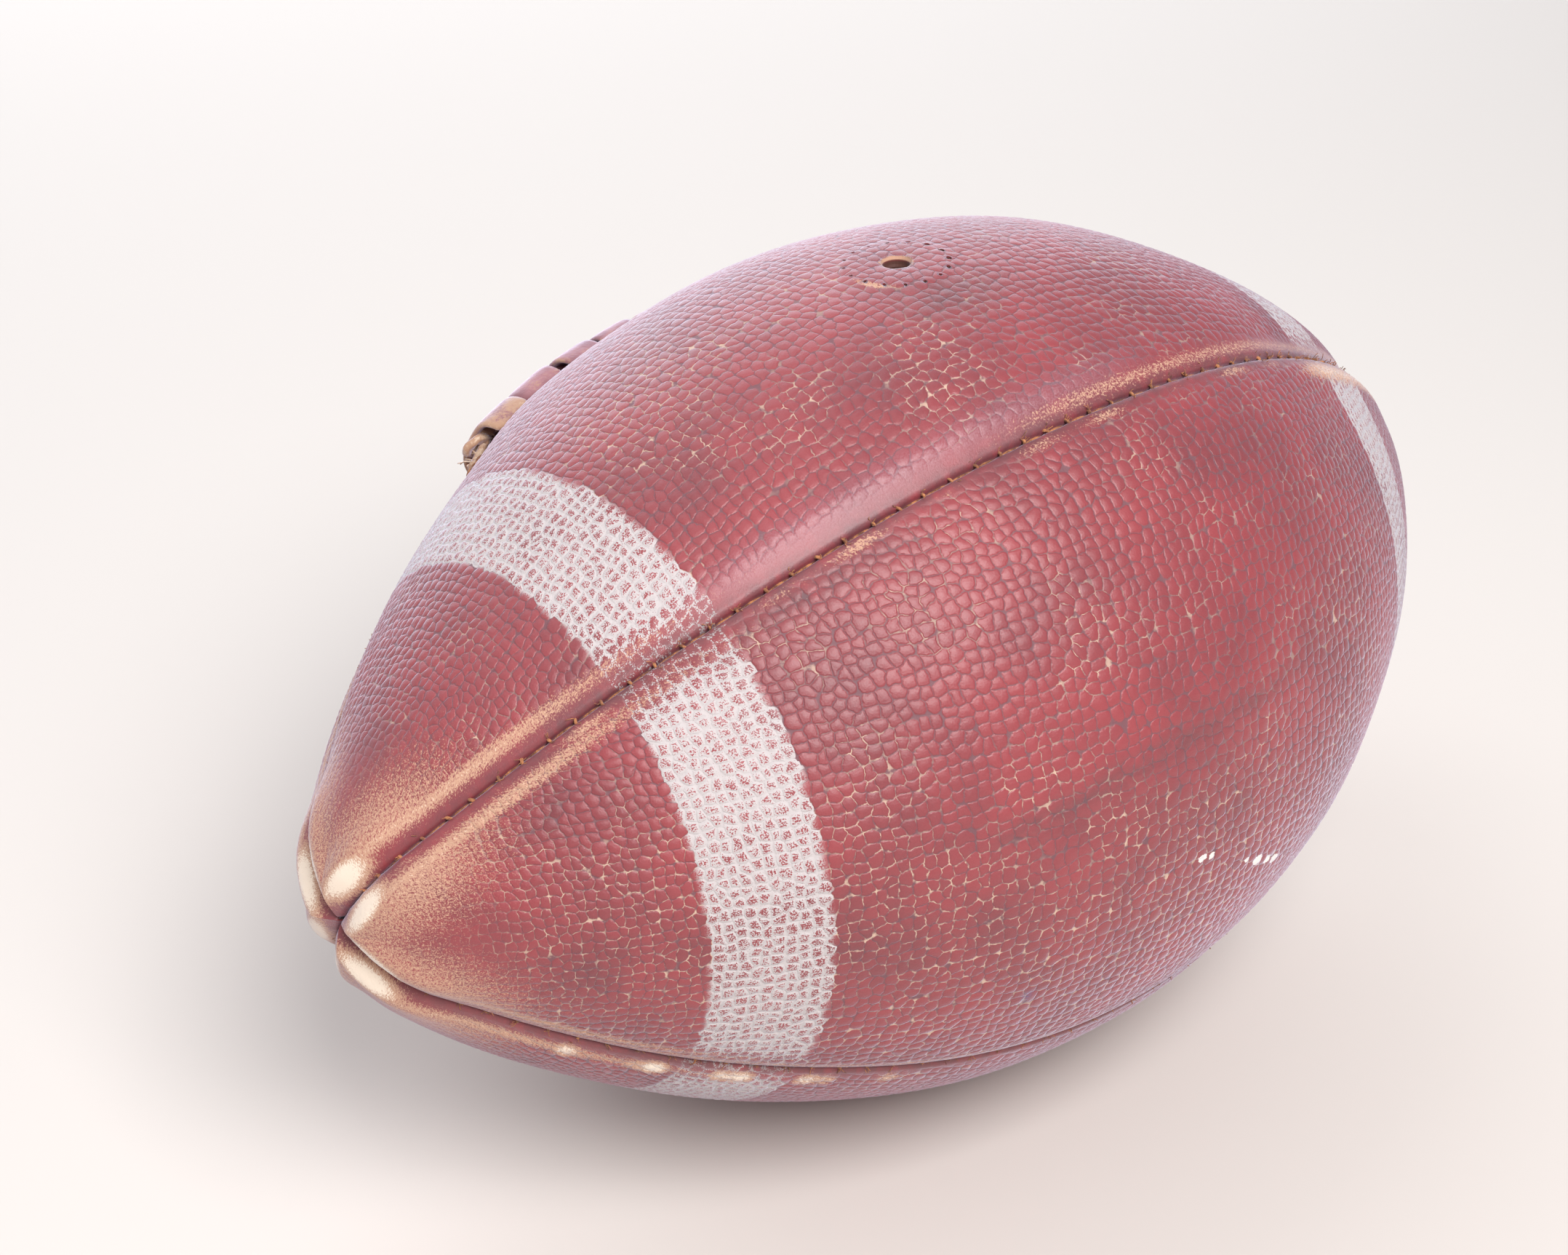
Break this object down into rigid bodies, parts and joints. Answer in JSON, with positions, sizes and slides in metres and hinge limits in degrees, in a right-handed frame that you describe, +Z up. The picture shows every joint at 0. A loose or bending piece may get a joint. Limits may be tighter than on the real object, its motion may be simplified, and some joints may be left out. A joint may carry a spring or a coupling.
{
  "type": "american football",
  "caption": "Old laced leather American football, half deflated, lying on its side, with white end stripes, a laced slit and an inflation valve.",
  "frame": {"origin": "on the floor, at the middle of the flat patch that the ball rests on, under the ball's centre", "axes": "+X along the ball's long axis, away from the knotted end of the lace; +Z up, as the ball lies at rest; the lacing faces up and towards +Y"},
  "size_m": [0.2786, 0.17, 0.1685],
  "materials": {
    "leather_panel": "worn pebbled red-brown leather",
    "lining_cloth": "plain cotton cloth",
    "seam_thread": "waxed thread",
    "lace_leather": "worn rawhide-tan leather",
    "facing_leather": "undyed leather",
    "bladder_rubber": "matt butyl rubber",
    "valve_rubber": "matt black rubber"
  },
  "bodies": {
    "root": {"panel_top": "leather_panel", "panel_front": "leather_panel", "panel_bottom": "leather_panel", "panel_rear": "leather_panel", "lining_top": "lining_cloth", "lining_front": "lining_cloth", "lining_bottom": "lining_cloth", "lining_rear": "lining_cloth", "seam_thread_top_front": "seam_thread", "seam_thread_front_bottom": "seam_thread", "seam_thread_bottom_rear": "seam_thread", "seam_thread_lace_seam_near": "seam_thread", "seam_thread_lace_seam_far": "seam_thread", "bar_tack_near": "seam_thread", "bar_tack_far": "seam_thread", "valve_patch_stitching": "seam_thread", "lace": "lace_leather", "lace_facing_top": "facing_leather", "lace_facing_rear": "facing_leather", "lace_tongue": "facing_leather", "valve_patch": "facing_leather", "bladder": "bladder_rubber", "valve_body": "valve_rubber", "valve_core": "valve_rubber"}
  },
  "joints": []
}
